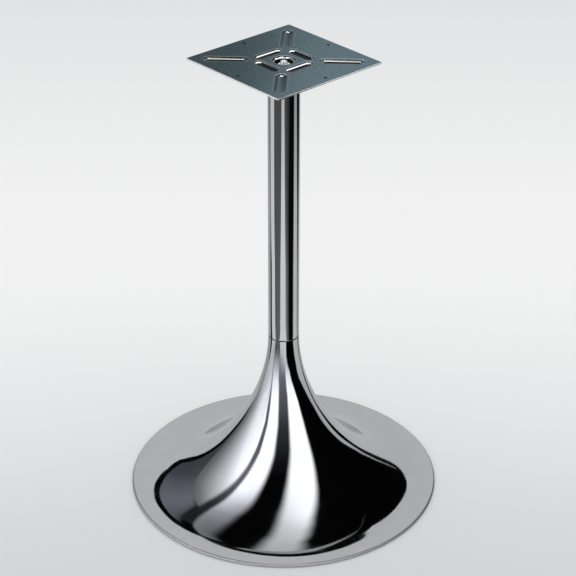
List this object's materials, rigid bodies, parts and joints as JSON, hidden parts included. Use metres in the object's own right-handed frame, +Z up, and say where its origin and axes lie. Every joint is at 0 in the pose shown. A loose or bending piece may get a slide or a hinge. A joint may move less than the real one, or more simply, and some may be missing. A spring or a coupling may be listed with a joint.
{
  "type": "tulip table base",
  "caption": "Round trumpet-shaped chromed table base with a slim column and a square pressed top plate that screws to the underside of a table top.",
  "frame": {"origin": "on the floor, at the middle of the round base", "axes": "+Z up along the column; +X and +Y along the sides of the square top plate"},
  "size_m": [0.49, 0.49, 0.725],
  "materials": {
    "polished_chrome": "mirror-polished chrome plating on spun and drawn steel",
    "zinc_plate": "satin blue-grey zinc plating on pressed steel sheet",
    "zinc_fasteners": "bright zinc plating on turned steel",
    "plain_steel": "turned bare steel",
    "cast_iron": "rough sand-cast iron with a dull dark coat",
    "glide_plastic": "moulded black plastic"
  },
  "bodies": {
    "root": {"top_plate": "zinc_plate", "column_tube": "polished_chrome", "trumpet_cover": "polished_chrome", "neck_spigot": "plain_steel", "ballast_casting": "cast_iron", "tie_rod": "zinc_fasteners", "top_washer": "zinc_fasteners", "top_nut": "zinc_fasteners", "lock_washer": "zinc_fasteners", "lock_nut": "zinc_fasteners", "bottom_washer": "zinc_fasteners", "bottom_nut": "zinc_fasteners", "floor_glide_1": "glide_plastic", "floor_glide_2": "glide_plastic", "floor_glide_3": "glide_plastic", "floor_glide_4": "glide_plastic"}
  },
  "joints": []
}
